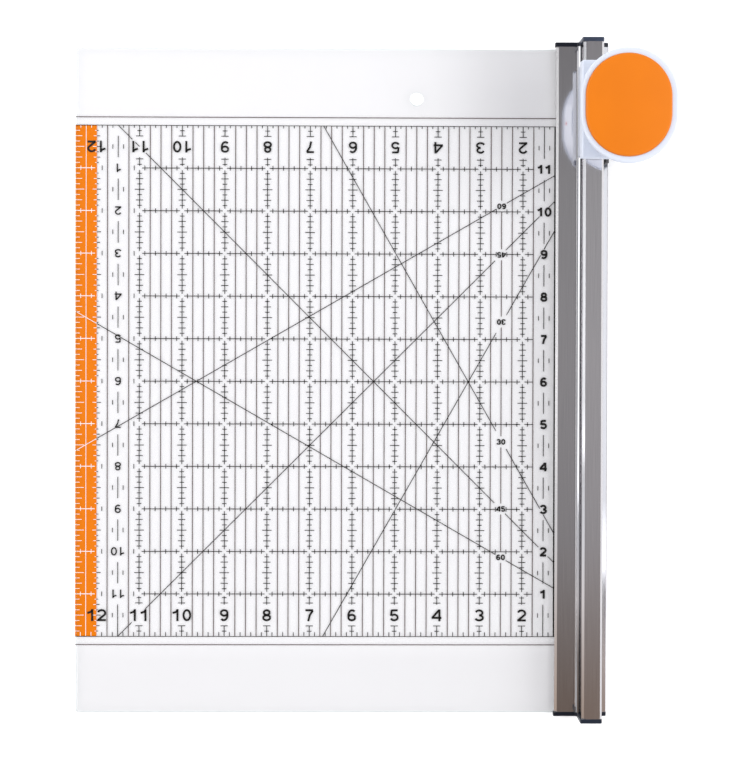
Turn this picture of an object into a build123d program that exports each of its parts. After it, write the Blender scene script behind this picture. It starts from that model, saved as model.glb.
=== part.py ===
"""Rotary paper trimmer: a clear ruler slab with an aluminium rail down its right-hand edge.

A carriage slides along the rail. Its sprung head is pressed down to bring a round blade onto
the work, beside the rail's outer edge.

Frame: millimetres, +X right towards the rail, +Y away from the user, +Z up. The origin is on
the slab's underside, at the middle of its ruled length and 6.25 inches from the cutting line.
"""
import os

from build123d import *

os.makedirs("parts", exist_ok=True)

# ---------------------------------------------------------------- driving dimensions
inch = 25.4
slip = 0.1                       # sliding gap between the carriage and the rail

# Slab
cutting_line = 6.25 * inch       # X of the blade's inner face
plate_left = -157.7
plate_right = 157.6
plate_length = 395.2
plate_thickness = 3.0
hang_hole = (44.3, 168.0)
hang_hole_radius = 4.0

# Rail, an extrusion along Y
rail_length = 395.2
rail_middle = 1.15               # Y of the rail's middle
rail_far = rail_middle + rail_length / 2
rail_left = 127.05
rail_right = 157.85
flange_top = 6.0
edge_bevel = 1.4
foot_groove = (138.0, 139.1, 0.35)    # left, right and depth, at the raised box's foot
ramp_middle = (140.2, 7.3)
ramp_top = 7.8
outer_flange_high = 6.4          # the outer flange falls from the raised box
outer_flange_low = 5.4
raised_left = 140.85
raised_right = 152.8
raised_top = 22.5
left_bevel = 1.5
right_bevel = 1.15
top_groove = (142.7, 143.3, 0.6)      # left, right and depth, along the raised box's top
chamber_left = 143.4
chamber_right = 149.8
chamber_floor = 4.6
chamber_roof = 21.0
port_x = (chamber_left + chamber_right) / 2
port_heights = (7.6, 18.0)
port_radius = 2.1
pilot_radius = 1.25
groove_depth = 1.6
groove_low = 11.5
groove_high = 15.5

# End caps
cap_thickness = 2.5
cap_outer_y = rail_far + cap_thickness
cap_top_lip = 0.4
cap_left_lip = 0.75
cap_right_lip = 0.1
cap_ramp = 0.75
plug_depth = 6.0

# Screws: shank radius, head radius, head height
screw_radius = 1.23
screw_head_radius = 2.3
screw_head_height = 1.4
clear_radius = 1.6

# Carriage
carriage_near = 129.95
carriage_far = 187.3
carriage_length = carriage_far - carriage_near
carriage_y = (carriage_near + carriage_far) / 2
carriage_left = 139.4
carriage_right = 165.0
roof_low = 23.5
roof_top = 26.0
roof_edge = 1.1                  # radius of the roof's upper edges
skirt_low = 10.0
skirt_ridge = 20.5
skirt_lean = 0.3
skirt_thickness = 2.0
skirt_inset = 0.6                # the skirts end this far inside the roof
skirt_relief = 2.5               # and their lower part this far
wiper_thickness = 1.6
wiper_low = 7.0
wiper_top = 17.5
wiper_reach = 1.3                # beyond the roof's near end
lip_depth = 0.9
lip_low = 12.6
lip_high = 14.4
pan_radius = 23.4
collar_radius = 22.4
collar_inner_radius = 20.9
collar_top = 30.3

# Head, a slot-shaped knob above the rail and the blade
head_x = 163.4
head_y = 157.8
head_straight = 10.1
head_low = 29.7
head_low_radius = 23.9
rim_low = 45.0
rim_top = 47.8
rim_radius = 27.65
cavity_low_radius = 22.75
cavity_top_radius = 25.0
cavity_top = 44.4
pad_seat = 46.4
pad_x = 162.8
pad_y = 157.85
pad_straight = 9.5
pad_radius = 24.45
pad_top = 50.2
pad_reach = 36.0                 # the dome's arc runs past the pad's corners
pad_dome_radius = 400.0
pad_dome_fall = pad_dome_radius - (pad_dome_radius**2 - pad_reach**2) ** 0.5
dot_spot = (head_y + 0.4, 40.0)  # Y and Z of the index dot, on the head's left side
dot_radius = 1.1
dot_back_x = 138.5
dot_face_x = 137.3

# Guide posts, their bushes and springs
post_spots = ((174.0, head_y - 17.0), (174.0, head_y + 17.0))
post_radius = 1.98
post_hole_radius = 2.0
post_low = 18.5
post_top = 40.6
clip_low = 39.0
clip_thickness = 0.58
bush_low = 33.0
bush_top = 38.95
bush_radius = 3.38
bush_bore = 2.03
wire_radius = 0.3
coil_radius = 2.9

# Blade and its hub stack, along X
blade_radius = 22.5
blade_thickness = 0.3
blade_hole_radius = 4.0
blade_x = cutting_line + blade_thickness / 2
blade_z = 25.0
bolt_head_x = 157.0
bolt_shoulder_x = blade_x - 0.2
hub_washer_x = blade_x + 0.2
bracket_x = 160.0
bracket_thickness = 2.0
spring_washer_x = bracket_x + bracket_thickness
spring_washer_thickness = 1.0
nut_x = spring_washer_x + spring_washer_thickness
nut_thickness = 2.6
bolt_end_x = 166.0
bolt_radius = 2.5

# Blade guard, bracket flange and their screws
guard_x = 166.6
guard_thickness = 2.0
guard_radius = 21.5
bracket_length = 23.0            # along Y, like the guard's flange
guard_screw_spots = ((172.5, head_y - 7.5), (172.5, head_y + 7.5))
bracket_screw_spots = ((168.0, head_y - 7.5), (168.0, head_y + 7.5))
bracket_flange_low = 38.0
bracket_flange_top = 40.0


# ---------------------------------------------------------------- helpers
def hub_plane(x):
    """Plane across the blade's axle at x: its own x is +Y and its own y is +Z."""
    return Plane(origin=(x, head_y, blade_z), x_dir=(0, 1, 0), z_dir=(1, 0, 0))


def slot(radius, straight=head_straight, mode=Mode.ADD):
    """Draw the head's outline: two half circles of the given radius joined by straight sides."""
    SlotOverall(2 * radius + straight, 2 * radius, rotation=90, mode=mode)


def pan_head_screw(shank_length):
    """A screw with its head seated on z = 0 and its shank along -Z."""
    with BuildPart() as screw:
        with BuildSketch():
            Circle(screw_radius)
        extrude(amount=-shank_length)
        chamfer(screw.edges().group_by(Axis.Z)[0], 0.4)
        with BuildSketch():
            Circle(screw_head_radius)
        extrude(amount=screw_head_height)
        fillet(screw.edges().group_by(Axis.Z)[-1], 0.6)
        with BuildSketch(Plane.XY.offset(screw_head_height)):
            Rectangle(2.6, 0.6)
            Rectangle(0.6, 2.6)
        extrude(amount=-0.9, mode=Mode.SUBTRACT)
    return screw.part


def countersunk_screw(shank_length):
    """A screw with its flat head flush with z = 0 and its shank along -Z."""
    with BuildPart() as screw:
        with BuildSketch():
            Circle(screw_radius)
        extrude(amount=-shank_length)
        with BuildSketch(Plane.XY.offset(-1.6)):
            Circle(screw_radius)
        with BuildSketch(Plane.XY):
            Circle(screw_radius + 1.6)
        loft()
        with BuildSketch(Plane.XY):
            Rectangle(3.0, 0.6)
            Rectangle(0.6, 3.0)
        extrude(amount=-0.8, mode=Mode.SUBTRACT)
    return screw.part


def finish(part, label):
    """Name a finished piece and write it."""
    part.label = label
    export_step(part, f"parts/{label}.step")


# ---------------------------------------------------------------- slab and rail
rail_screw_spots = [(133.0, y) for y in (-180.0, -90.0, 0.0, 90.0, 180.0)]

with BuildPart() as ruler_plate:
    with BuildSketch():
        with Locations(((plate_left + plate_right) / 2, 0)):
            RectangleRounded(plate_right - plate_left, plate_length, 1.2)
    extrude(amount=plate_thickness)
    chamfer(ruler_plate.edges().group_by(Axis.Z)[-1], 0.4)
    with Locations((*hang_hole, plate_thickness)):
        Hole(hang_hole_radius)
    with Locations(Plane(origin=(0, 0, 0), x_dir=(1, 0, 0), z_dir=(0, 0, -1))):
        with Locations([(x, -y) for x, y in rail_screw_spots]):
            CounterSinkHole(screw_radius + 0.02, screw_radius + 1.65, counter_sink_angle=90)
finish(ruler_plate.part, "ruler_plate")

with BuildPart() as rail:
    with BuildSketch(Plane.XZ.offset(-rail_middle)) as rail_section:
        with BuildLine():
            Polyline(
                (rail_left, plate_thickness),
                (rail_left, flange_top - edge_bevel),
                (rail_left + edge_bevel, flange_top),
                (foot_groove[1], flange_top),
                ramp_middle,
                (raised_left, ramp_top),
                (raised_left, raised_top - left_bevel),
                (raised_left + left_bevel, raised_top),
                (raised_right - right_bevel, raised_top),
                (raised_right, raised_top - right_bevel),
                (raised_right, outer_flange_high),
                (rail_right - 0.3, outer_flange_low),
                (rail_right, outer_flange_low - 0.3),
                (rail_right, plate_thickness),
                close=True,
            )
        make_face()
        for (left, right, depth), surface in ((foot_groove, flange_top), (top_groove, raised_top)):
            with Locations(((left + right) / 2, surface - depth / 2)):
                Rectangle(right - left, depth, mode=Mode.SUBTRACT)
        for x in (raised_left, raised_right):
            with Locations((x, (groove_low + groove_high) / 2)):
                Rectangle(2 * groove_depth, groove_high - groove_low, mode=Mode.SUBTRACT)
        with Locations((port_x, (chamber_floor + chamber_roof) / 2)):
            Rectangle(chamber_right - chamber_left, chamber_roof - chamber_floor, mode=Mode.SUBTRACT)
        for height, wall in zip(port_heights, (chamber_floor, chamber_roof)):
            with Locations((port_x, height)):
                Circle(port_radius)
            with Locations((port_x, (height + wall) / 2)):
                Rectangle(2.4, abs(height - wall))
            with Locations((port_x, height)):
                Circle(pilot_radius, mode=Mode.SUBTRACT)
    extrude(amount=rail_length / 2, both=True)
    with Locations(Plane(origin=(0, 0, plate_thickness), x_dir=(1, 0, 0), z_dir=(0, 0, -1))):
        with Locations([(x, -y) for x, y in rail_screw_spots]):
            Hole(screw_radius + 0.02, depth=2.5)
finish(rail.part, "rail")

with BuildPart() as rail_screws:
    for x, y in rail_screw_spots:
        add(countersunk_screw(5.3).moved(Location((x, y, 0), (180, 0, 0))))
finish(rail_screws.part, "rail_screws")

# The far cap covers the extrusion's section and plugs into its chamber.
with BuildPart() as end_cap_far:
    with BuildSketch(Plane.XZ.offset(-rail_far)) as cap_section:
        with BuildLine():
            Polyline(
                (rail_left - cap_left_lip, plate_thickness),
                (rail_left - cap_left_lip, flange_top + cap_top_lip),
                (raised_left - cap_left_lip - cap_ramp, flange_top + cap_top_lip),
                (raised_left - cap_left_lip, flange_top + cap_top_lip + cap_ramp),
                (raised_left - cap_left_lip, raised_top + cap_top_lip),
                (raised_right + cap_right_lip, raised_top + cap_top_lip),
                (raised_right + cap_right_lip, outer_flange_high + cap_top_lip),
                (rail_right, outer_flange_low + cap_top_lip),
                (rail_right, plate_thickness),
                close=True,
            )
        make_face()
        outer_corners = cap_section.vertices().group_by(Axis.Z)[-1]
        fillet(outer_corners, 1.0)
        fillet(cap_section.vertices().sort_by(Axis.X)[1], 1.2)
    extrude(amount=-cap_thickness)
    cap_face = end_cap_far.faces().sort_by(Axis.Y)[-1]
    fillet(cap_face.edges().filter_by(Axis.Z, reverse=True).group_by(Axis.Z)[-1], 0.5)
    with BuildSketch(Plane.XZ.offset(-rail_far)):
        with Locations((port_x, sum(port_heights) / 2)):
            Rectangle(chamber_right - chamber_left - 0.3, 5.4)
    extrude(amount=plug_depth)
    with Locations(Plane(origin=(0, cap_outer_y, 0), x_dir=(1, 0, 0), z_dir=(0, 1, 0))):
        with Locations([(port_x, -height) for height in port_heights]):
            CounterSinkHole(screw_radius + 0.02, screw_radius + 1.65, cap_thickness, 90)
finish(end_cap_far.part, "end_cap_far")

rail_halfway = Plane.XZ.offset(-rail_middle)

with BuildPart() as end_cap_near:
    mirror(end_cap_far.part, about=rail_halfway)
finish(end_cap_near.part, "end_cap_near")

with BuildPart() as end_cap_screws:
    for height in port_heights:
        seat = Location((port_x, cap_outer_y, height), (-90, 0, 0))
        add(countersunk_screw(11.0).moved(seat))
    mirror(about=rail_halfway)
finish(end_cap_screws.part, "end_cap_screws")

# ---------------------------------------------------------------- carriage
with BuildPart() as saddle:
    # Roof over the rail, widened into a pan under the head.
    with BuildSketch(Plane.XY.offset(roof_low)):
        with Locations(((carriage_left + carriage_right) / 2, carriage_y)):
            RectangleRounded(carriage_right - carriage_left, carriage_length, 1.5)
        with Locations((head_x, head_y)):
            slot(pan_radius)
    extrude(amount=roof_top - roof_low)
    fillet(saddle.edges().group_by(Axis.Z)[-1], roof_edge)
    # Left skirt: outer face leans out to a soft ridge, then draws in below it.
    with BuildSketch(Plane.XZ.offset(-carriage_y)):
        with BuildLine():
            Polyline(
                (carriage_left, roof_low + 0.6),
                (carriage_left - skirt_lean, skirt_ridge),
                (carriage_left, skirt_low),
                (raised_left - slip, skirt_low),
                (raised_left - slip, lip_low),
                (raised_left - slip + lip_depth, lip_low),
                (raised_left - slip + lip_depth, lip_high),
                (raised_left - slip, lip_high),
                (raised_left - slip, roof_low),
                (raised_left + 1.0, roof_low),
                (raised_left + 1.0, roof_low + 0.6),
                close=True,
            )
        make_face()
    extrude(amount=carriage_length / 2 - skirt_inset, both=True)
    # Right skirt, upright between the rail and the blade.
    with BuildSketch(Plane.XZ.offset(-carriage_y)):
        with Locations((raised_right + slip + skirt_thickness / 2, (skirt_low + roof_low) / 2)):
            Rectangle(skirt_thickness, roof_low - skirt_low)
        with Locations((raised_right + slip - lip_depth / 2, (lip_low + lip_high) / 2)):
            Rectangle(lip_depth, lip_high - lip_low)
    extrude(amount=carriage_length / 2 - skirt_inset, both=True)
    # The lower part of both skirts stops short of the roof's ends.
    for y in (carriage_near, carriage_far):
        with Locations(((raised_left + raised_right) / 2, y, (skirt_low + skirt_ridge) / 2 - 1)):
            Box(20.0, 2 * skirt_relief, skirt_ridge - skirt_low, mode=Mode.SUBTRACT)
    # Collar that the head's skirt slides down over.
    with BuildSketch(Plane.XY.offset(roof_top)):
        with Locations((head_x, head_y)):
            slot(collar_radius)
            slot(collar_inner_radius, mode=Mode.SUBTRACT)
    extrude(amount=collar_top - roof_top)
    # Bosses for the guide posts below the pan and for the guard's screws above it.
    with BuildSketch(Plane.XY.offset(post_low)):
        with Locations(*post_spots):
            Circle(4.5)
    extrude(amount=roof_low - post_low)
    with BuildSketch(Plane.XY.offset(roof_top)):
        with Locations(*guard_screw_spots):
            Circle(3.2)
    extrude(amount=3.5)
    with BuildSketch(Plane.XY.offset(post_low)):
        with Locations(*post_spots):
            Circle(post_hole_radius)
    extrude(amount=roof_top - post_low, mode=Mode.SUBTRACT)
    with BuildSketch(Plane.XY.offset(roof_low)):
        with Locations(*guard_screw_spots):
            Circle(pilot_radius)
    extrude(amount=5.2, mode=Mode.SUBTRACT)
    # Slot for the blade, wider at the hub.
    with BuildSketch(Plane.XY.offset(roof_low)):
        with Locations((blade_x, head_y)):
            Rectangle(2.8, 2 * blade_radius + 2.6)
        with Locations(((bolt_head_x + bolt_end_x) / 2, head_y)):
            Rectangle(bolt_end_x - bolt_head_x + 1.0, 19.0)
    extrude(amount=roof_top - roof_low, mode=Mode.SUBTRACT)
finish(saddle.part, "saddle")

# Glide shoes: plastic channels on the skirts' lips, running in the rail's side grooves.
shoe_length = carriage_length - 6.0
shoe_walls = {"glide_shoe_left": (raised_left, 1), "glide_shoe_right": (raised_right, -1)}
for label, (wall_x, inward) in shoe_walls.items():
    outer_x = wall_x + inward * slip
    inner_x = wall_x + inward * (groove_depth - slip)
    lip_x = wall_x + inward * (lip_depth - slip)
    with BuildPart() as glide_shoe:
        with BuildSketch(Plane.XZ.offset(-carriage_y)):
            with Locations(((outer_x + inner_x) / 2, (groove_low + groove_high) / 2)):
                Rectangle(abs(outer_x - inner_x), groove_high - groove_low - 2 * slip)
            with Locations(((outer_x + lip_x) / 2, (lip_low + lip_high) / 2)):
                Rectangle(abs(outer_x - lip_x), lip_high - lip_low, mode=Mode.SUBTRACT)
        extrude(amount=shoe_length / 2, both=True)
    finish(glide_shoe.part, label)

with BuildPart() as glide_strip:
    with BuildSketch(Plane.XY.offset(raised_top + slip)):
        with Locations(((top_groove[1] + raised_right - right_bevel) / 2, carriage_y)):
            RectangleRounded(7.2, carriage_length - 5.0, 1.5)
    extrude(amount=roof_low - raised_top - slip)
finish(glide_strip.part, "glide_strip")

# Wiper strip on the outside of the right skirt, just above the rail's outer flange.
with BuildPart() as wiper_strip:
    with BuildSketch(Plane.XZ.offset(-carriage_y)):
        with Locations((raised_right + slip + skirt_thickness + wiper_thickness / 2,
                        (wiper_low + wiper_top) / 2)):
            Rectangle(wiper_thickness, wiper_top - wiper_low)
    extrude(amount=carriage_length / 2 + wiper_reach)
    extrude(wiper_strip.faces().sort_by(Axis.Y)[-1], amount=carriage_length / 2 - skirt_relief)
finish(wiper_strip.part, "wiper_strip")

with BuildPart() as blade_guard:
    with BuildSketch(hub_plane(guard_x)) as guard_outline:
        Circle(guard_radius)
        with Locations((0, roof_low - blade_z + guard_radius)):
            Rectangle(2 * guard_radius, 2 * guard_radius, mode=Mode.SUBTRACT)
    extrude(amount=guard_thickness)
    with BuildSketch(Plane.XY.offset(roof_low)):
        with Locations((guard_x + 5.2, head_y)):
            Rectangle(10.4, bracket_length)
    extrude(amount=-guard_thickness)
    with Locations(*[(x, y, roof_low) for x, y in guard_screw_spots]):
        Hole(clear_radius, depth=guard_thickness)
finish(blade_guard.part, "blade_guard")

with BuildPart() as guard_screws:
    for x, y in guard_screw_spots:
        add(pan_head_screw(6.8).moved(Location((x, y, roof_low - guard_thickness), (180, 0, 0))))
finish(guard_screws.part, "guard_screws")

for place, (x, y) in zip(("near", "far"), post_spots):
    with BuildPart() as guide_post:
        with BuildSketch(Plane.XY.offset(post_low)):
            with Locations((x, y)):
                Circle(post_radius)
        extrude(amount=post_top - post_low)
        chamfer(guide_post.edges().group_by(Axis.Z)[-1], 0.4)
        with BuildSketch(Plane.XY.offset(clip_low)):
            with Locations((x, y)):
                Circle(post_radius + 0.5)
                Circle(post_radius - 0.45, mode=Mode.SUBTRACT)
        extrude(amount=clip_thickness + 0.02, mode=Mode.SUBTRACT)
    finish(guide_post.part, f"guide_post_{place}")

    with BuildPart() as guide_bush:
        with BuildSketch(Plane.XY.offset(bush_low)):
            with Locations((x, y)):
                Circle(bush_radius)
                Circle(bush_bore, mode=Mode.SUBTRACT)
        extrude(amount=bush_top - bush_low)
    finish(guide_bush.part, f"guide_bush_{place}")

    with BuildPart() as return_spring:
        with BuildLine() as coil:
            Helix(pitch=1.5, height=6.3, radius=coil_radius, center=(x, y, roof_top + 0.32))
        with BuildSketch(Plane(origin=coil.line @ 0, z_dir=coil.line % 0)):
            Circle(wire_radius)
        sweep(is_frenet=True)
    finish(return_spring.part, f"return_spring_{place}")

with BuildPart() as post_clips:
    with BuildSketch(Plane.XY.offset(clip_low)):
        with Locations(*post_spots):
            Circle(3.1)
            Circle(post_radius - 0.43, mode=Mode.SUBTRACT)
        with Locations(*[(x + 2.5, y) for x, y in post_spots]):
            Rectangle(5.0, 2.4, mode=Mode.SUBTRACT)
    extrude(amount=clip_thickness)
finish(post_clips.part, "post_clips")

# ---------------------------------------------------------------- head
with BuildPart() as head_shell:
    # Tapered body under a wider rim.
    with BuildSketch(Plane.XY.offset(head_low)):
        with Locations((head_x, head_y)):
            slot(head_low_radius)
    with BuildSketch(Plane.XY.offset(rim_low)):
        with Locations((head_x, head_y)):
            slot(rim_radius - 0.6)
    loft()
    with BuildSketch(Plane.XY.offset(rim_low)):
        with Locations((head_x, head_y)):
            slot(rim_radius)
    extrude(amount=rim_top - rim_low)
    fillet(head_shell.edges().group_by(Axis.Z)[-1], 1.1)
    # Cavity, open below.
    with BuildSketch(Plane.XY.offset(head_low)):
        with Locations((head_x, head_y)):
            slot(cavity_low_radius)
    with BuildSketch(Plane.XY.offset(cavity_top)):
        with Locations((head_x, head_y)):
            slot(cavity_top_radius)
    loft(mode=Mode.SUBTRACT)
    # Seat for the grip pad.
    with BuildSketch(Plane.XY.offset(pad_seat)):
        with Locations((pad_x, pad_y)):
            slot(pad_radius + 0.1, pad_straight)
    extrude(amount=rim_top - pad_seat, mode=Mode.SUBTRACT)
    # Bosses for the bushes and for the bracket's screws.
    with BuildSketch(Plane.XY.offset(cavity_top)):
        with Locations(*post_spots):
            Circle(4.6)
    extrude(amount=bush_low - cavity_top)
    with BuildSketch(Plane.XY.offset(cavity_top)):
        with Locations(*bracket_screw_spots):
            Circle(3.4)
    extrude(amount=bracket_flange_top - cavity_top)
    with BuildSketch(Plane.XY.offset(bush_low)):
        with Locations(*post_spots):
            Circle(bush_radius + 0.02)
    extrude(amount=pad_seat - bush_low, mode=Mode.SUBTRACT)
    with BuildSketch(Plane.XY.offset(bracket_flange_top)):
        with Locations(*bracket_screw_spots):
            Circle(pilot_radius)
    extrude(amount=4.4, mode=Mode.SUBTRACT)
    # Slot that clears the top of the blade.
    with BuildSketch(Plane.XY.offset(cavity_top)):
        with Locations((blade_x, head_y)):
            Rectangle(2.8, 30.0)
    extrude(amount=pad_seat - cavity_top, mode=Mode.SUBTRACT)
    # Blind hole for the index dot.
    with BuildSketch(Plane(origin=(dot_back_x, *dot_spot), z_dir=(-1, 0, 0))):
        Circle(dot_radius + 0.02)
    extrude(amount=4.0, mode=Mode.SUBTRACT)
finish(head_shell.part, "head_shell")

with BuildPart() as index_dot:
    with BuildSketch(Plane(origin=(dot_back_x, *dot_spot), z_dir=(-1, 0, 0))):
        Circle(dot_radius)
    extrude(amount=dot_back_x - dot_face_x)
    fillet(index_dot.edges().sort_by(Axis.X)[0], 0.2)
finish(index_dot.part, "index_dot")

with BuildPart() as grip_pad:
    with BuildSketch(Plane.XY.offset(pad_seat)):
        with Locations((pad_x, pad_y)):
            slot(pad_radius, pad_straight)
    extrude(amount=pad_top - pad_seat)
    # Shallow dome: a large arc, turned about the pad's centre, trims the flat top.
    with BuildSketch(Plane(origin=(pad_x, pad_y, pad_top), x_dir=(1, 0, 0), z_dir=(0, -1, 0))):
        with BuildLine():
            RadiusArc((0, 0), (pad_reach, -pad_dome_fall), pad_dome_radius)
            Polyline((pad_reach, -pad_dome_fall), (pad_reach, 2.0), (0, 2.0), (0, 0))
        make_face()
    revolve(axis=Axis((pad_x, pad_y, 0), (0, 0, 1)), mode=Mode.SUBTRACT)
    upper_edges = grip_pad.edges().filter_by(lambda edge: edge.center().Z > pad_top - 2)
    fillet(upper_edges, 1.2)
    with BuildSketch(Plane.XY.offset(pad_seat)):
        with Locations((blade_x, head_y)):
            Rectangle(2.6, 24.0)
    extrude(amount=1.8, mode=Mode.SUBTRACT)
finish(grip_pad.part, "grip_pad")

with BuildPart() as blade_bracket:
    with BuildSketch(hub_plane(bracket_x)):
        Circle(8.0)
        with Locations((0, (bracket_flange_top - blade_z) / 2)):
            Rectangle(16.0, bracket_flange_top - blade_z)
    extrude(amount=bracket_thickness)
    with BuildSketch(Plane.XY.offset(bracket_flange_low)):
        with Locations((bracket_x + 6.5, head_y)):
            Rectangle(13.0, bracket_length)
    extrude(amount=bracket_flange_top - bracket_flange_low)
    inside_bend = blade_bracket.edges().filter_by(Axis.Y).filter_by(
        lambda edge: abs(edge.center().Z - bracket_flange_low) < 0.01
        and abs(edge.center().X - spring_washer_x) < 0.01
    )
    fillet(inside_bend, 1.2)
    with BuildSketch(hub_plane(bracket_x)):
        Circle(bolt_radius + 0.05)
    extrude(amount=bracket_thickness, mode=Mode.SUBTRACT)
    with Locations(*[(x, y, bracket_flange_top) for x, y in bracket_screw_spots]):
        Hole(clear_radius, depth=bracket_flange_top - bracket_flange_low)
finish(blade_bracket.part, "blade_bracket")

with BuildPart() as bracket_screws:
    for x, y in bracket_screw_spots:
        add(pan_head_screw(6.2).moved(Location((x, y, bracket_flange_low), (180, 0, 0))))
finish(bracket_screws.part, "bracket_screws")

# ---------------------------------------------------------------- blade and hub stack
with BuildPart() as rotary_blade:
    with BuildSketch(Plane(origin=(blade_x, head_y, blade_z), x_dir=(1, 0, 0), z_dir=(0, -1, 0))):
        with BuildLine():
            Polyline(
                (-blade_thickness / 2, blade_hole_radius),
                (blade_thickness / 2, blade_hole_radius),
                (blade_thickness / 2, blade_radius - 1.2),
                (0, blade_radius),
                (-blade_thickness / 2, blade_radius - 1.2),
                close=True,
            )
        make_face()
    revolve(axis=Axis((blade_x, head_y, blade_z), (1, 0, 0)))
finish(rotary_blade.part, "rotary_blade")

with BuildPart() as blade_bolt:
    with BuildSketch(hub_plane(bolt_head_x)):
        Circle(7.0)
    extrude(amount=bolt_shoulder_x - bolt_head_x)
    fillet(blade_bolt.edges().sort_by(Axis.X)[0], 0.8)
    with BuildSketch(hub_plane(bolt_shoulder_x)):
        Circle(blade_hole_radius - 0.05)
    extrude(amount=bracket_x - bolt_shoulder_x)
    with BuildSketch(hub_plane(bracket_x)):
        Circle(bolt_radius)
    extrude(amount=bolt_end_x - bracket_x)
    chamfer(blade_bolt.edges().sort_by(Axis.X)[-1], 0.4)
    with BuildSketch(hub_plane(bolt_head_x)):
        Rectangle(9.0, 1.2)
    extrude(amount=0.8, mode=Mode.SUBTRACT)
finish(blade_bolt.part, "blade_bolt")

with BuildPart() as hub_washer:
    with BuildSketch(hub_plane(hub_washer_x)):
        Circle(8.0)
        Circle(blade_hole_radius, mode=Mode.SUBTRACT)
    extrude(amount=bracket_x - hub_washer_x)
finish(hub_washer.part, "hub_washer")

with BuildPart() as spring_washer:
    with BuildSketch(hub_plane(spring_washer_x)):
        Circle(4.4)
        Circle(bolt_radius + 0.1, mode=Mode.SUBTRACT)
        with Locations((0, 3.5)):
            Rectangle(0.8, 4.0, rotation=20, mode=Mode.SUBTRACT)
    extrude(amount=spring_washer_thickness)
finish(spring_washer.part, "spring_washer")

with BuildPart() as blade_nut:
    with BuildSketch(hub_plane(nut_x)):
        RegularPolygon(radius=4.0, side_count=6, major_radius=False)
        Circle(bolt_radius + 0.02, mode=Mode.SUBTRACT)
    extrude(amount=nut_thickness)
finish(blade_nut.part, "blade_nut")
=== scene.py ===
from math import cos, radians, sin, tau

import bmesh
import bpy
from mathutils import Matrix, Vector


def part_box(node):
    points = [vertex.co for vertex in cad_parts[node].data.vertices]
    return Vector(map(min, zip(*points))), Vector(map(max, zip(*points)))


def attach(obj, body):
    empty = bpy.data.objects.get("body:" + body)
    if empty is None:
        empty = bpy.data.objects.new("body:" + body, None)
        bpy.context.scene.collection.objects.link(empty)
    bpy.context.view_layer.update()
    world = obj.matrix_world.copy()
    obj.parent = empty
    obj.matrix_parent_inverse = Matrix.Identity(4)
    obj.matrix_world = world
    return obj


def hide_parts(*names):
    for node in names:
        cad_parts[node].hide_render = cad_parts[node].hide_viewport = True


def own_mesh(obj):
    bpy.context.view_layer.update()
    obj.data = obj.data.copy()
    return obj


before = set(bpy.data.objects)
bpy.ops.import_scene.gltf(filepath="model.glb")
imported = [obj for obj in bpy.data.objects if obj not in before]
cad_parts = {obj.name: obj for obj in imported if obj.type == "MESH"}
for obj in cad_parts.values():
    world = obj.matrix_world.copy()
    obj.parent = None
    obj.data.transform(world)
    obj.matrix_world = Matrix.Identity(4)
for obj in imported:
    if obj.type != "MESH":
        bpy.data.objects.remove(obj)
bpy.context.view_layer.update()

# Rotary paper trimmer, seen from straight above.
# Metres, +X right towards the rail, +Y away from the user, +Z up from the slab's underside.

MM = 0.001
INCH = 0.0254

plate_low, plate_high = (Vector(corner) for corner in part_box("ruler_plate"))
rail_low, rail_high = (Vector(corner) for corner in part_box("rail"))
cutting_line = Vector(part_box("rotary_blade")[0]).x


# ---------------------------------------------------------------- camera, floor and light
def add_camera():
    """Look almost straight down from above the slab's upper half, under a degree off plumb."""
    data = bpy.data.cameras.new("camera")
    data.sensor_width = 36.0
    data.lens = 67.41
    data.shift_x = -0.01774
    data.shift_y = -0.04716
    data.clip_start = 0.01
    camera = bpy.data.objects.new("camera", data)
    camera.location = (0.02125, 0.028, 0.850)
    camera.rotation_euler = (-0.00705, -0.00919, 0.00267)
    bpy.context.scene.collection.objects.link(camera)
    bpy.context.scene.camera = camera


def add_floor():
    """A plain white table top just under the slab."""
    bpy.ops.mesh.primitive_plane_add(size=6.0, location=(0, 0, -0.3 * MM))
    floor = bpy.context.object
    floor.name = "floor"
    material, nodes, links, shader = new_material("floor_white")
    shader.inputs["Base Color"].default_value = (0.93, 0.93, 0.935, 1)
    shader.inputs["Roughness"].default_value = 0.9
    shader.inputs["Specular IOR Level"].default_value = 0.0
    shader.inputs["Emission Color"].default_value = (1, 1, 1, 1)
    shader.inputs["Emission Strength"].default_value = 0.2
    floor.data.materials.append(material)


def area_light(name, location, target, size, power, colour):
    """A soft box that points at target."""
    data = bpy.data.lights.new(name, "AREA")
    data.shape = "RECTANGLE"
    data.size, data.size_y = size
    data.energy = power
    data.color = colour
    light = bpy.data.objects.new(name, data)
    light.location = location
    direction = Vector(target) - Vector(location)
    light.rotation_euler = direction.to_track_quat("-Z", "Y").to_euler()
    bpy.context.scene.collection.objects.link(light)


def add_lights():
    """Large soft boxes on all four sides, strongest at the left and right."""
    area_light("key_left", (-1.25, 0.25, 1.05), (0.0, 0, 0), (1.2, 1.9), 17.0, (1.0, 0.99, 0.98))
    area_light("fill_right", (1.35, 0.15, 0.85), (0.1, 0, 0), (1.0, 1.5), 17.0, (0.97, 0.98, 1.0))
    area_light("fill_far", (0.1, 1.45, 1.0), (0.1, 0, 0), (1.6, 0.7), 5.0, (0.97, 0.98, 1.0))
    area_light("fill_near", (0.0, -1.45, 1.0), (0.1, 0, 0), (1.6, 0.7), 4.2, (1.0, 0.98, 0.96))


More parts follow.
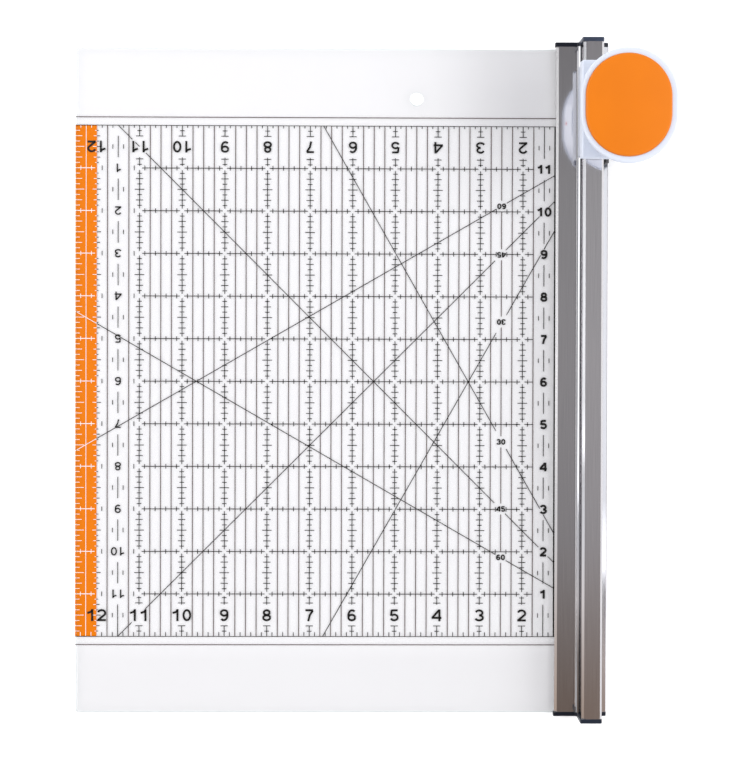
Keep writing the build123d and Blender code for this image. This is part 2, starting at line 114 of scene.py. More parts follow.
def add_ceiling():
    """The studio's grey ceiling, which the metal's flat faces mirror."""
    world = bpy.data.worlds.new("studio")
    bpy.context.scene.world = world
    world.use_nodes = True
    nodes = world.node_tree.nodes
    links = world.node_tree.links
    nodes.clear()
    output = nodes.new("ShaderNodeOutputWorld")
    background = nodes.new("ShaderNodeBackground")
    coordinates = nodes.new("ShaderNodeTexCoord")
    axes = nodes.new("ShaderNodeSeparateXYZ")
    links.new(coordinates.outputs["Generated"], axes.inputs[0])
    # Grey overhead, brightening towards the horizon.
    ceiling = ramp(nodes, links, axes.outputs["Z"], [
        (0.0, (1.0, 1.0, 1.0)),
        (0.55, (0.95, 0.96, 0.98)),
        (0.86, (0.75, 0.75, 0.77)),
        (0.955, (0.345, 0.337, 0.345)),
        (1.0, (0.328, 0.32, 0.328)),
    ])
    # A warm dark patch towards the user and a fainter grey one beyond the rail's far end.
    patches = ramp(nodes, links, calculate(nodes, links, "ADD", axes.outputs["Y"], 0.5), [
        (0.10, (1.0, 1.0, 1.0)),
        (0.24, (0.49, 0.365, 0.28)),
        (0.36, (0.87, 0.86, 0.86)),
        (0.48, (1.0, 1.0, 1.0)),
        (0.60, (0.93, 0.94, 0.94)),
        (0.72, (0.62, 0.62, 0.63)),
        (0.90, (1.0, 1.0, 1.0)),
    ])
    links.new(multiply(nodes, links, ceiling, patches), background.inputs["Color"])
    background.inputs["Strength"].default_value = 1.0
    links.new(background.outputs[0], output.inputs[0])


def set_view():
    """Plain colours, without a film-like look."""
    view = bpy.context.scene.view_settings
    view.view_transform = "Standard"
    view.look = "None"


# ---------------------------------------------------------------- material helpers
def new_material(name):
    """A node material with a Principled shader: returns it with its nodes, links and shader."""
    material = bpy.data.materials.new(name)
    material.use_nodes = True
    nodes = material.node_tree.nodes
    links = material.node_tree.links
    return material, nodes, links, nodes["Principled BSDF"]


def grey(share):
    """A colour with three equal channels."""
    return (share, share, share)


def ramp(nodes, links, value, stops, stepped=False):
    """Turn a 0 to 1 value into a colour through (position, rgb) stops; stepped ones don't blend."""
    node = nodes.new("ShaderNodeValToRGB")
    if stepped:
        node.color_ramp.interpolation = "CONSTANT"
    elements = node.color_ramp.elements
    while len(elements) < len(stops):
        elements.new(0.5)
    for element, (position, colour) in zip(elements, stops):
        element.position = position
        element.color = (*colour, 1)
    links.new(value, node.inputs[0])
    return node.outputs[0]


def calculate(nodes, links, operation, *values):
    """A math node's output; each value is a number or another node's output."""
    node = nodes.new("ShaderNodeMath")
    node.operation = operation
    for place, value in enumerate(values):
        if isinstance(value, float):
            node.inputs[place].default_value = value
        else:
            links.new(value, node.inputs[place])
    return node.outputs[0]


def noise(nodes, links, scale, detail, stretch=(1, 1, 1)):
    """Noise in object space, stretched along the axes."""
    coordinates = nodes.new("ShaderNodeTexCoord")
    mapping = nodes.new("ShaderNodeMapping")
    mapping.inputs["Scale"].default_value = stretch
    texture = nodes.new("ShaderNodeTexNoise")
    texture.inputs["Scale"].default_value = scale
    texture.inputs["Detail"].default_value = detail
    links.new(coordinates.outputs["Object"], mapping.inputs["Vector"])
    links.new(mapping.outputs[0], texture.inputs["Vector"])
    return texture.outputs["Fac"]


def remap(nodes, links, value, low, high):
    """Spread a 0 to 1 value over low to high."""
    node = nodes.new("ShaderNodeMapRange")
    node.inputs["To Min"].default_value = low
    node.inputs["To Max"].default_value = high
    links.new(value, node.inputs["Value"])
    return node.outputs[0]


def bump(nodes, links, shader, height, strength, distance):
    """Feed a height value into the shader's normal."""
    node = nodes.new("ShaderNodeBump")
    node.inputs["Strength"].default_value = strength
    node.inputs["Distance"].default_value = distance
    links.new(height, node.inputs["Height"])
    links.new(node.outputs[0], shader.inputs["Normal"])


def plastic(name, light, dark, roughness, grain=900.0, sheen=0.5):
    """Moulded plastic: two close tones in soft clouds, with a fine spark-eroded grain."""
    material, nodes, links, shader = new_material(name)
    clouds = noise(nodes, links, 35.0, 2.0)
    tones = ramp(nodes, links, clouds, [(0.3, dark), (0.7, light)])
    links.new(tones, shader.inputs["Base Color"])
    pits = noise(nodes, links, grain, 4.0)
    spread = remap(nodes, links, pits, roughness - 0.05, roughness + 0.08)
    links.new(spread, shader.inputs["Roughness"])
    shader.inputs["Specular IOR Level"].default_value = sheen
    bump(nodes, links, shader, pits, 0.35, 0.02 * MM)
    return material


def metal(name, light, dark, roughness, grain, stretch=(1, 1, 1), anisotropy=0.0):
    """Machined metal: two close tones in a fine grain, drawn out along the axis of least stretch."""
    material, nodes, links, shader = new_material(name)
    lines = noise(nodes, links, grain, 5.0, stretch)
    tones = ramp(nodes, links, lines, [(0.3, dark), (0.7, light)])
    links.new(tones, shader.inputs["Base Color"])
    spread = remap(nodes, links, lines, roughness - 0.04, roughness + 0.08)
    links.new(spread, shader.inputs["Roughness"])
    shader.inputs["Metallic"].default_value = 1.0
    shader.inputs["Anisotropic"].default_value = anisotropy
    bump(nodes, links, shader, lines, 0.25, 0.006 * MM)
    return material


def place_along(nodes, links, axis, start, end):
    """Object X, Y or Z, spread over 0 to 1 between two places."""
    coordinates = nodes.new("ShaderNodeTexCoord")
    axes = nodes.new("ShaderNodeSeparateXYZ")
    spread = nodes.new("ShaderNodeMapRange")
    spread.inputs["From Min"].default_value = start
    spread.inputs["From Max"].default_value = end
    links.new(coordinates.outputs["Object"], axes.inputs[0])
    links.new(axes.outputs[axis], spread.inputs["Value"])
    return spread.outputs[0]


def multiply(nodes, links, first, second):
    """The product of two colour outputs."""
    product = nodes.new("ShaderNodeMixRGB")
    product.blend_type = "MULTIPLY"
    product.inputs["Fac"].default_value = 1.0
    links.new(first, product.inputs["Color1"])
    links.new(second, product.inputs["Color2"])
    return product.outputs[0]


def tint(material, factor):
    """Multiply the base colour that a material already has by a colour output."""
    nodes = material.node_tree.nodes
    links = material.node_tree.links
    base = nodes["Principled BSDF"].inputs["Base Color"]
    links.new(multiply(nodes, links, base.links[0].from_socket, factor), base)


def rail_metal(name):
    """Brushed extrusion with painted reflections: its slopes, bevels, raised top and right lip are painted
    other tones than its flats, changing along it, in place of the highlights they mirror.
    """
    material = metal(name, (0.84, 0.825, 0.84), (0.75, 0.735, 0.755), 0.07, 260, (14, 0.12, 14), 0.2)
    nodes = material.node_tree.nodes
    links = material.node_tree.links
    across = place_along(nodes, links, "X", rail_low.x, rail_high.x)
    along = place_along(nodes, links, "Y", rail_low.y, rail_high.y)

    def share_across(x):
        return (x - rail_low.x) / (rail_high.x - rail_low.x)

    # Where the slopes start beside the flange, the raised box's wall, its top, its right bevel and the lip
    slopes, wall, box_top, right_bevel, lip = map(share_across, (0.1393, 0.1409, 0.1424, 0.1516, 0.1529))
    # Painted reflections: each face's tone is scaled, with the slopes, right bevel and lip painted darker
    # and the raised top painted brighter.
    tones = ((0.0, 0.9), (slopes, 0.5), (box_top, 1.17), (right_bevel, 0.6), (lip, 0.24))
    tint(material, ramp(nodes, links, across, [(place, grey(tone)) for place, tone in tones], True))

    # Painted highlights and reflections: gains from the near end to the far end, for the slope, the box's
    # left bevel and the lip
    slope_painted_highlight_gains = ((0.0, 0.65), (0.08, 0.8), (0.17, 1.65), (0.32, 1.3), (0.48, 1.0))
    bevel_painted_highlight_gains = ((0.0, 1.6), (0.06, 1.75), (0.17, 2.15), (0.32, 1.75), (0.47, 0.9), (0.6, 1.0))
    lip_painted_highlight_gains = ((0.0, 3.8), (0.08, 4.0), (0.17, 2.3), (0.32, 1.0))
    bands = ((slopes, wall, slope_painted_highlight_gains), (wall, box_top, bevel_painted_highlight_gains), (lip, 1.0, lip_painted_highlight_gains))
    for left, right, gains in bands:
        band = ramp(nodes, links, across, [(0.0, grey(0)), (left, grey(1)), (right, grey(0))], True)
        painted_highlight_colours = [(place, (0.98 * gain, gain, 1.03 * gain)) for place, gain in gains]
        painted_highlight_mix = nodes.new("ShaderNodeMixRGB")
        painted_highlight_mix.inputs["Color1"].default_value = (1, 1, 1, 1)
        links.new(band, painted_highlight_mix.inputs["Fac"])
        links.new(ramp(nodes, links, along, painted_highlight_colours), painted_highlight_mix.inputs["Color2"])
        tint(material, painted_highlight_mix.outputs[0])
    return material


def white_moulding(name, low, high, share):
    """Bluish white moulding with painted light: its tone is scaled by a share below the given heights."""
    material = plastic(name, (0.60, 0.64, 0.73), (0.575, 0.615, 0.705), 0.34)
    nodes = material.node_tree.nodes
    links = material.node_tree.links
    height = place_along(nodes, links, "Z", low, high)
    tint(material, ramp(nodes, links, height, [(0.0, grey(share)), (1.0, grey(1))]))
    return material


def cap_plastic(name, top_painted_light_share, top_sheen):
    """Blue-black moulding with painted shade: its low foot is painted deeper and warmer in tone, and made
    less shiny, than its top.
    """
    material = plastic(name, (0.020, 0.032, 0.062), (0.014, 0.021, 0.042), 0.38)
    nodes = material.node_tree.nodes
    links = material.node_tree.links
    # Painted shade: darker and warmer below 8 mm; the top is scaled by a painted light share that differs
    # between the two caps.
    height = place_along(nodes, links, "Z", 8 * MM, 16 * MM)
    tint(material, ramp(nodes, links, height, [(0.0, (0.3, 0.26, 0.27)), (1.0, grey(top_painted_light_share))]))
    sheen = remap(nodes, links, height, 0.22, top_sheen)
    links.new(sheen, nodes["Principled BSDF"].inputs["Specular IOR Level"])
    return material


def sheet_haze(nodes, links):
    """How clear the sheet is: an even slight haze, with painted shade of the rail and the head that
    darkens it towards the rail, most so near its far end.
    """
    across = place_along(nodes, links, "X", plate_low.x, rail_low.x)
    # Painted shade: the see-through colour darkens towards the rail, and more so towards the far end where
    # the head's shade falls.
    near = ramp(nodes, links, across, [
        (0.0, (0.905, 0.905, 0.908)),
        (0.5, (0.903, 0.903, 0.906)),
        (0.88, (0.897, 0.897, 0.9)),
        (0.93, (0.89, 0.89, 0.893)),
        (0.97, (0.872, 0.872, 0.876)),
    ])
    far = ramp(nodes, links, across, [
        (0.0, (0.908, 0.908, 0.911)),
        (0.6, (0.903, 0.903, 0.906)),
        (0.73, (0.895, 0.895, 0.898)),
        (0.8, (0.877, 0.877, 0.881)),
        (0.86, (0.856, 0.856, 0.86)),
        (0.92, (0.85, 0.85, 0.855)),
        (1.0, (0.867, 0.867, 0.871)),
    ])
    haze = nodes.new("ShaderNodeMixRGB")
    links.new(place_along(nodes, links, "Y", 0.09, 0.165), haze.inputs["Fac"])
    links.new(near, haze.inputs["Color1"])
    links.new(far, haze.inputs["Color2"])
    # The blank strip before the grid's near end is a touch greyer.
    length = place_along(nodes, links, "Y", plate_low.y, plate_high.y)
    strip = ramp(nodes, links, length, [
        (0.0, (0.98, 0.979, 0.98)),
        (0.085, (0.98, 0.979, 0.98)),
        (0.1, (0.995, 0.994, 0.995)),
    ])
    return multiply(nodes, links, haze.outputs[0], strip)


def acrylic(name):
    """Clear sheet: see-through with a slight haze and painted shade, darker sawn edges and a faintly
    scuffed gloss.
    """
    material, nodes, links, shader = new_material(name)
    nodes.remove(shader)
    geometry = nodes.new("ShaderNodeNewGeometry")
    tilt = nodes.new("ShaderNodeSeparateXYZ")
    links.new(geometry.outputs["True Normal"], tilt.inputs[0])
    upright = calculate(nodes, links, "ABSOLUTE", tilt.outputs["Z"])
    edge = ramp(nodes, links, upright, [(0.3, (0.80, 0.84, 0.84)), (0.6, (1.0, 1.0, 1.0))])
    clear = nodes.new("ShaderNodeBsdfTransparent")
    links.new(multiply(nodes, links, sheet_haze(nodes, links), edge), clear.inputs["Color"])
    gloss = nodes.new("ShaderNodeBsdfGlossy")
    scuffs = noise(nodes, links, 60.0, 6.0, (1, 0.15, 1))
    links.new(remap(nodes, links, scuffs, 0.02, 0.12), gloss.inputs["Roughness"])
    fresnel = nodes.new("ShaderNodeFresnel")
    fresnel.inputs["IOR"].default_value = 1.49
    # Light on its way out of the sheet passes straight through.
    inward = calculate(nodes, links, "SUBTRACT", 1.0, geometry.outputs["Backfacing"])
    mix = nodes.new("ShaderNodeMixShader")
    links.new(calculate(nodes, links, "MULTIPLY", fresnel.outputs[0], inward), mix.inputs[0])
    links.new(clear.outputs[0], mix.inputs[1])
    links.new(gloss.outputs[0], mix.inputs[2])
    links.new(mix.outputs[0], nodes["Material Output"].inputs["Surface"])
    return material


def ink(name, colour, lighter):
    """Screen-printed ink: slightly uneven coverage."""
    material, nodes, links, shader = new_material(name)
    coverage = noise(nodes, links, 400.0, 3.0)
    tones = ramp(nodes, links, coverage, [(0.25, colour), (0.85, lighter)])
    links.new(tones, shader.inputs["Base Color"])
    shader.inputs["Roughness"].default_value = 0.55
    shader.inputs["Specular IOR Level"].default_value = 0.05
    return material


def dress(material, *nodes):
    """Give CAD nodes a finished material."""
    for name in nodes:
        node = bpy.data.objects[name]
        for place in range(len(node.material_slots)):
            node.material_slots[place].link = "OBJECT"
            node.material_slots[place].material = material


# ---------------------------------------------------------------- printed grid
FILM_THICKNESS = 0.05 * MM

# Widths of the printed lines
HAIRLINE = 0.47 * MM
PLAIN_LINE = 0.55 * MM
FRAME_LINE = 0.78 * MM
END_LINE = 0.4 * MM
WHITE_LINE = 0.34 * MM
WHITE_DASH = 0.36 * MM
WHITE_INCH = 0.42 * MM

# Heights of the printed films above the slab's underside
BAND_LEVEL = 0.16 * MM
LINE_LEVEL = 0.26 * MM
MARK_LEVEL = 0.36 * MM

# The grid in inches: across from the cutting line, and up from its near end
GRID_SPAN = 12
LAST_COLUMN = 11
FIRST_COLUMN = 2
EIGHTH = 1 / 8
FREE_EDGE = 12.5
BAND_EDGE = 12.0
FRAME_COLUMN = 1.25
RAIL_EDGE = 1.18
CROSSING_GAP = 0.05
LABEL_GAP = 0.13
grid_near = -6 * INCH - 0.4 * MM


def arc(x, y, rx, ry, start, end, steps=12):
    """Points along an ellipse between two angles in degrees."""
    angles = [radians(start + (end - start) * i / steps) for i in range(steps + 1)]
    return [(x + rx * cos(a), y + ry * sin(a)) for a in angles]


# Digits as pen strokes in a cell one unit tall, centred on x = 0
SIX = [arc(0, 0.31, 0.28, 0.23, 0, 360, 20), arc(0.03, 0.5, 0.31, 0.42, 48, 200)]
DIGITS = {
    "0": [arc(0, 0.5, 0.28, 0.42, 0, 360, 24)],
    "1": [[(0.1, 0), (0.1, 1)], [(0.1, 0.93), (0.0, 0.78), (-0.3, 0.68)]],
    "2": [arc(0, 0.67, 0.3, 0.25, 165, -30) + [(-0.28, 0.1)], [(-0.36, 0.08), (0.36, 0.08)]],
    "3": [arc(0, 0.71, 0.28, 0.21, 165, -90), arc(0, 0.29, 0.315, 0.21, 90, -165)],
    "4": [[(0.2, 0.95), (-0.37, 0.3)], [(-0.42, 0.29), (0.4, 0.29)], [(0.23, 0), (0.23, 1)]],
    "5": [
        [(-0.22, 0.92), (0.29, 0.92)],
        [(-0.21, 0.96), (-0.27, 0.46)],
        arc(0, 0.32, 0.29, 0.24, 145, -160),
    ],
    "6": SIX,
    "7": [[(-0.32, 0.92), (0.32, 0.92)], [(0.3, 0.9), (0.04, 0.5), (-0.08, 0)]],
    "8": [arc(0, 0.72, 0.24, 0.2, 0, 360, 20), arc(0, 0.29, 0.29, 0.21, 0, 360, 20)],
    "9": [[(-x, 1 - y) for x, y in stroke] for stroke in SIX],
}
DIGIT_PITCH = 0.89
DIGIT_STROKE = 0.175

# Angle guides: label, start, end, the label's height up the grid, and the breaks along u
LABEL_COLUMN = 2.5
ANGLE_GUIDES = (
    ("60", (FREE_EDGE, 7.639), (RAIL_EDGE, 1.103), 1.87, ((BAND_EDGE, BAND_EDGE), (2.62, 2.38))),
    ("45", (11.5, GRID_SPAN), (RAIL_EDGE, 1.68), 3.01, ((11.17, 10.85), (2.65, 2.40), (1.61, 1.39))),
    ("30", (6.686, GRID_SPAN), (RAIL_EDGE, 2.315), 4.59, ((2.62, 2.38), (1.58, 1.5))),
)


def at(u, v):
    """Slab position of u inches from the cutting line and v inches up the grid."""
    return Vector((cutting_line - u * INCH, grid_near + v * INCH))


class Film:
    """One printed film: collects strokes and areas, then becomes a thin closed mesh."""

    def __init__(self, name, material, level):
        self.name = name
        self.material = material
        self.level = level
        self.mesh = bmesh.new()

    def quad(self, corners):
        """Add a thin block on four corners given in order."""
        low = [self.mesh.verts.new((c.x, c.y, self.level)) for c in corners]
        high = [self.mesh.verts.new((c.x, c.y, self.level + FILM_THICKNESS)) for c in corners]
        self.mesh.faces.new(low[::-1])
        self.mesh.faces.new(high)
        for i in range(4):
            j = (i + 1) % 4
            self.mesh.faces.new((low[i], low[j], high[j], high[i]))

    def line(self, start, end, width):
        """Add a stroke of the given width between two points in grid inches."""
        a, b = at(*start), at(*end)
        side = (b - a).normalized().orthogonal() * width / 2
        self.quad((a - side, b - side, b + side, a + side))

    def area(self, u0, v0, u1, v1):
        """Add a rectangle between two corners in grid inches."""
        a, b = at(max(u0, u1), min(v0, v1)), at(min(u0, u1), max(v0, v1))
        self.quad((a, Vector((b.x, a.y)), b, Vector((a.x, b.y))))

    def strip(self, points, width):
        """Add a run of joined strokes through points on the slab."""
        sides = []
        for i in range(len(points)):
            along = points[min(i + 1, len(points) - 1)] - points[max(i - 1, 0)]
            sides.append(along.normalized().orthogonal() * width / 2)
        for i in range(len(points) - 1):
            a, b = points[i], points[i + 1]
            self.quad((a - sides[i], b - sides[i + 1], b + sides[i + 1], a + sides[i]))

    def numeral(self, text, u, v, height, turned=False, weight=DIGIT_STROKE):
        """Add a number centred on a grid point; turned numbers read from the far side."""
        size = height * INCH
        facing = -1 if turned else 1
        for i, digit in enumerate(text):
            shift = (i - (len(text) - 1) / 2) * DIGIT_PITCH
            for stroke in DIGITS[digit]:
                points = [at(u, v) + facing * size * Vector((x + shift, y - 0.5)) for x, y in stroke]
                self.strip(points, weight * size)

    def finish(self):
        """Turn the film into a piece of the ruler body."""
        data = bpy.data.meshes.new(self.name)
        bmesh.ops.recalc_face_normals(self.mesh, faces=self.mesh.faces[:])
        self.mesh.to_mesh(data)
        self.mesh.free()
        piece = bpy.data.objects.new(self.name, data)
        piece.data.materials.append(self.material)
        bpy.context.scene.collection.objects.link(piece)
        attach(piece, "ruler")


def tick_length(step, short, middle, long):
    """Length of the tick at an eighth-inch step: longer at quarters and halves."""
    if step % 4 == 0:
        return long
    if step % 2 == 0:
        return middle
    return short


def print_columns(dark):
    """Upright scales on every inch, with eighth-inch ticks and a gap at each crossing."""
    shift = 0.038
    for u in range(FIRST_COLUMN, LAST_COLUMN + 1):
        for v in range(GRID_SPAN):
            low = v + (0 if v == 0 else CROSSING_GAP)
            high = v + 1 - (0 if v == LAST_COLUMN else CROSSING_GAP)
            if v in (0, LAST_COLUMN):
                dark.line((u, low), (u, v + 0.25), HAIRLINE)
                dark.line((u, v + 0.75), (u, high), HAIRLINE)
            else:
                dark.line((u, low), (u, high), HAIRLINE)
            for step in range(1, 8):
                if v in (0, LAST_COLUMN) and 2 < step < 6:
                    continue
                half = tick_length(step, 0.108, 0.171, 0.225) / 2
                level = v + step * EIGHTH
                # Beside the end numbers, the two ticks next to the row line sit closer to it.
                if v == 0 and step > 5:
                    level += shift
                if v == LAST_COLUMN and step < 3:
                    level -= shift
                dark.line((u - half, level), (u + half, level), HAIRLINE)


def print_rows(dark):
    """Lines across every inch, broken by the 45 labels and ticked at the odd eighths."""
    start, end = 10.94, 1.75
    tick = 0.054
    columns = range(FIRST_COLUMN, LAST_COLUMN + 1)
    for v in range(1, GRID_SPAN):
        dark.line((start, v), (10 + CROSSING_GAP, v), HAIRLINE)
        for u in range(FIRST_COLUMN, 10):
            if u == int(LABEL_COLUMN) and v in (3, GRID_SPAN - 3):
                dark.line((u + 1 - CROSSING_GAP, v), (LABEL_COLUMN + LABEL_GAP, v), HAIRLINE)
                dark.line((LABEL_COLUMN - LABEL_GAP, v), (u + CROSSING_GAP, v), HAIRLINE)
            else:
                dark.line((u + 1 - CROSSING_GAP, v), (u + CROSSING_GAP, v), HAIRLINE)
        dark.line((FIRST_COLUMN - CROSSING_GAP, v), (end, v), HAIRLINE)
        spots = [u + shift * EIGHTH for u in columns for shift in (-3, -1, 1, 3)]
        for spot in [spot for spot in spots if end < spot < start] + [11.875, 11.125]:
            dark.line((spot, v - tick), (spot, v + tick), HAIRLINE)


def print_uprights(plain):
    """Plain upright lines at the quarters between the scales, broken by the angle labels."""
    spots = [11.75, 11.25, 1.75]
    for u in range(FIRST_COLUMN, LAST_COLUMN):
        spots += [u + 0.25, u + 0.5, u + 0.75]
    spots.remove(LABEL_COLUMN)
    for u in spots:
        plain.line((u, 0), (u, GRID_SPAN), PLAIN_LINE)
    labels = [v for text, start, end, v, breaks in ANGLE_GUIDES]
    labels = sorted(labels + [GRID_SPAN - v for v in labels])
    starts = [0] + [v + LABEL_GAP for v in labels]
    ends = [v - LABEL_GAP for v in labels] + [GRID_SPAN]
    for low, high in zip(starts, ends):
        plain.line((LABEL_COLUMN, low), (LABEL_COLUMN, high), PLAIN_LINE)


def print_dashed(dark, u, reaches_far_end):
    """A dashed half-inch line with a short dash on either side of the middle of each stretch."""
    half = 0.0525
    for v in range(GRID_SPAN):
        low = 0 if v == 0 else v + 0.25
        high = v + 1 if v == LAST_COLUMN and reaches_far_end else v + 0.75
        dark.line((u, low), (u, high), HAIRLINE)
        for side in (-EIGHTH, EIGHTH):
            dark.line((u + side, v + 0.5 - half), (u + side, v + 0.5 + half), HAIRLINE)


def print_border(dark, plain):
    """Frame lines across the grid's ends, with inward ticks, and plain lines just outside."""
    outside = 0.195
    for v, inward, tick in ((0, 1, 0.1), (GRID_SPAN, -1, 0.06)):
        dark.line((FREE_EDGE, v), (RAIL_EDGE, v), END_LINE)
        for step in range(11, 8 * GRID_SPAN, 2):
            dark.line((step * EIGHTH, v), (step * EIGHTH, v + tick * inward), HAIRLINE)
        level = v - outside * inward
        plain.line((FREE_EDGE, level), (RAIL_EDGE, level), PLAIN_LINE)


def print_angles(dark, white):
    """Cutting guides at 60, 45 and 30 degrees and their mirrors, broken by numbers; white on the band."""
    for text, start, end, label_v, breaks in ANGLE_GUIDES:
        slope = (end[1] - start[1]) / (end[0] - start[0])
        stops = [start[0]] + [u for pair in breaks for u in pair] + [end[0]]
        for mirrored in (False, True):
            points = [(u, start[1] + slope * (u - start[0])) for u in stops]
            if mirrored:
                points = [(u, GRID_SPAN - v) for u, v in points]
            for first, last in zip(points[::2], points[1::2]):
                if last[0] >= BAND_EDGE:
                    white.line(first, last, WHITE_LINE)
                else:
                    dark.line(first, last, HAIRLINE)
            spot = GRID_SPAN - label_v if mirrored else label_v
            dark.numeral(text, LABEL_COLUMN, spot, 0.124, mirrored, 0.26)
    # The 45 degree guide shows between the digits of the far 11.
    dark.line((11.1, 11.6), (11.0, 11.5), HAIRLINE)


def print_numbers(dark):
    """Inch numbers along all four sides; far-side ones are turned to read from there."""
    for u in range(FIRST_COLUMN, GRID_SPAN + 1):
        dark.numeral(str(u), u, 0.5, 0.28)
        dark.numeral(str(u), u, GRID_SPAN - 0.5, 0.27, True)
    for v in range(1, GRID_SPAN):
        dark.numeral(str(v), 1.5, v, 0.206, False, 0.25)
        dark.numeral(str(v), 11.5, GRID_SPAN - v, 0.2, True, 0.165)


def print_band(orange, lines, marks, dark):
    """Orange strip along the free edge with its own white scales."""
    orange.area(BAND_EDGE, 0, FREE_EDGE, GRID_SPAN)
    lines.line((12.25, 0), (12.25, GRID_SPAN), WHITE_LINE)
    for step in range(1, 8 * GRID_SPAN):
        if step % 8 == 0:
            continue
        v = step * EIGHTH
        edge = tick_length(step, 0.105, 0.157, 0.205)
        marks.line((FREE_EDGE, v), (FREE_EDGE - edge, v), WHITE_LINE)
        inner = tick_length(step, 0.04, 0.07, 0.093)
        marks.line((BAND_EDGE + inner, v), (BAND_EDGE, v), WHITE_LINE)
        outer = tick_length(step, 0.042, 0.075, 0.1)
        dark.line((BAND_EDGE, v), (BAND_EDGE - outer, v), HAIRLINE)
    for v in range(1, GRID_SPAN):
        marks.line((FREE_EDGE, v), (BAND_EDGE + 0.04, v), WHITE_INCH)
    for u in (12.375, 12.125):
        lines.line((u, 0), (u, 0.1), WHITE_DASH)
        lines.line((u, GRID_SPAN - 0.06), (u, GRID_SPAN), WHITE_DASH)
        for v in range(1, GRID_SPAN):
            lines.line((u, v - 0.05), (u, v + 0.05), WHITE_DASH)


def print_grid():
    """The whole print, film by film."""
    orange_ink = ink("ink_orange", (0.80, 0.19, 0.0), (0.84, 0.21, 0.0))
    white_ink = ink("ink_white", (0.95, 0.93, 0.9), (1, 1, 1))
    grey_ink = ink("ink_grey", (0.13, 0.105, 0.105), (0.19, 0.155, 0.155))
    dark_ink = ink("ink_dark", (0.012, 0.011, 0.011), (0.03, 0.028, 0.027))
    orange = Film("print_orange_band", orange_ink, BAND_LEVEL)
    white_lines = Film("print_white_lines", white_ink, LINE_LEVEL)
    white_marks = Film("print_white_marks", white_ink, MARK_LEVEL)
    plain = Film("print_grey_lines", grey_ink, LINE_LEVEL)
    dark = Film("print_dark_marks", dark_ink, MARK_LEVEL)
    print_band(orange, white_lines, white_marks, dark)
    print_uprights(plain)
    dark.line((FRAME_COLUMN, 0), (FRAME_COLUMN, GRID_SPAN), FRAME_LINE)
    for v in range(1, GRID_SPAN):
        dark.line((FRAME_COLUMN, v), (FRAME_COLUMN - 0.06, v), HAIRLINE)
    print_columns(dark)
    print_rows(dark)
    print_dashed(dark, 11.5, False)
    print_dashed(dark, 1.5, True)
    print_border(dark, plain)
    print_angles(dark, white_marks)
    print_numbers(dark)
    for film in (orange, white_lines, white_marks, plain, dark):
        film.finish()


# ---------------------------------------------------------------- springs
def add_spring(place):
    """A closed-end compression spring round its guide post, built at one length; the real one shortens as
    the head goes down.
    """
    node = f"return_spring_{place}"
    low, high = (Vector(corner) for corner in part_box(node))
    middle = (low + high) / 2
    wire = 0.3 * MM
    coil = (high.x - low.x) / 2 - wire
    foot = low.z + wire
    rise = high.z - low.z - 2 * wire
    turns = 5.5
    per_turn = 40
    count = int(turns * per_turn)
    curve = bpy.data.curves.new(node + "_wire", "CURVE")
    curve.dimensions = "3D"
    curve.bevel_depth = wire
    curve.bevel_resolution = 4
    curve.use_fill_caps = True
    spline = curve.splines.new("POLY")
    spline.points.add(count)
    for i in range(count + 1):
        turn = i / per_turn
        # The first and last turns lie nearly flat.
        share = min(max((turn - 0.8) / (turns - 1.6), 0), 1)
        height = foot + rise * (0.06 * turn / turns + 0.94 * share)
        angle = tau * turn
        spline.points[i].co = (middle.x + coil * cos(angle), middle.y + coil * sin(angle), height, 1)
    holder = bpy.data.objects.new(node + "_wire", curve)
    bpy.context.scene.collection.objects.link(holder)
    bpy.context.view_layer.update()
    data = bpy.data.meshes.new_from_object(holder)
    bpy.data.objects.remove(holder)
    bpy.data.curves.remove(curve)
    data.materials.clear()
    data.materials.append(metal("spring_wire_" + place, (0.5, 0.5, 0.52), (0.32, 0.32, 0.34), 0.28, 900))
    spring = bpy.data.objects.new(f"coil_spring_{place}", data)
    bpy.context.scene.collection.objects.link(spring)
    for face in data.polygons:
        face.use_smooth = True
    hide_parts(node)
    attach(spring, "carriage")
    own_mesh(spring)


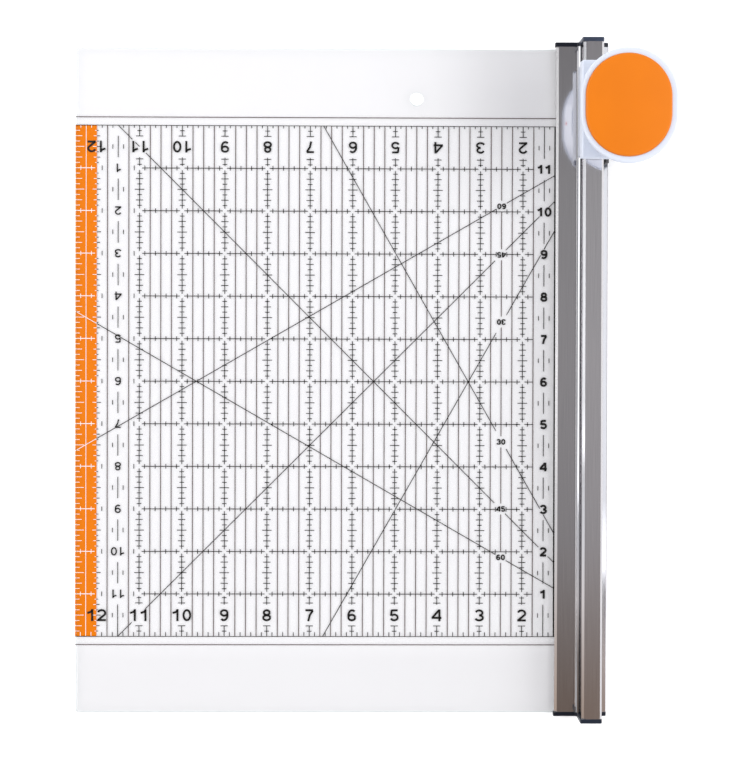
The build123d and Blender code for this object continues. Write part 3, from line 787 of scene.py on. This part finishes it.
# ---------------------------------------------------------------- finishes
def dress_nodes():
    """Materials for every CAD node that stays in view."""
    dress(acrylic("clear_acrylic_sheet"), "ruler_plate")
    dress(rail_metal("brushed_extrusion"), "rail")
    # The near cap is a shaded copy of the far cap: its top is painted darker.
    dress(cap_plastic("far_cap_plastic", 1.0, 0.5), "end_cap_far")
    dress(cap_plastic("near_cap_plastic", 0.4, 0.28), "end_cap_near")
    # Painted shade on the saddle's skirts below 18 to 21 mm; painted bounce light on the knob's and
    # guard's lower body below 42 to 45 mm.
    dress(white_moulding("white_saddle", 18 * MM, 21 * MM, 0.82), "saddle")
    dress(white_moulding("white_knob", 42 * MM, 45 * MM, 1.04), "head_shell", "blade_guard")
    dress(
        plastic("orange_grip", (0.645, 0.162, 0.001), (0.615, 0.152, 0.001), 0.42, 700.0, 0.25),
        "grip_pad",
    )
    dress(plastic("red_mark", (0.72, 0.03, 0.04), (0.6, 0.02, 0.03), 0.3), "index_dot")
    dress(
        plastic("glide_moulding", (0.24, 0.24, 0.25), (0.19, 0.19, 0.2), 0.45),
        "glide_shoe_left", "glide_shoe_right", "glide_strip",
    )
    # Painted shade: a dark strip stands in for the shade under the head's overhang at the skirt's end.
    dress(plastic("dark_strip_painted_shade", (0.15, 0.145, 0.15), (0.11, 0.105, 0.11), 0.6), "wiper_strip")
    dress(metal("ground_blade", (0.68, 0.69, 0.71), (0.55, 0.56, 0.58), 0.2, 700), "rotary_blade")
    dress(
        metal("polished_post", (0.75, 0.75, 0.77), (0.66, 0.66, 0.68), 0.12, 500, (1, 1, 6)),
        "guide_post_near", "guide_post_far",
    )
    dress(
        metal("plated_steel_sheet", (0.66, 0.65, 0.62), (0.55, 0.54, 0.52), 0.3, 300),
        "blade_bracket", "blade_bolt", "hub_washer", "blade_nut",
    )
    dress(
        metal("screw_plating", (0.56, 0.56, 0.58), (0.42, 0.42, 0.44), 0.28, 600),
        "rail_screws", "end_cap_screws", "guard_screws", "bracket_screws",
    )
    dress(
        metal("spring_plating", (0.45, 0.45, 0.47), (0.33, 0.33, 0.35), 0.3, 600),
        "post_clips", "spring_washer",
    )
    dress(
        metal("turned_brass", (0.80, 0.60, 0.27), (0.68, 0.49, 0.2), 0.22, 500, (1, 1, 8)),
        "guide_bush_near", "guide_bush_far",
    )


add_camera()
add_floor()
add_lights()
add_ceiling()
set_view()
dress_nodes()
print_grid()
for side in ("near", "far"):
    add_spring(side)
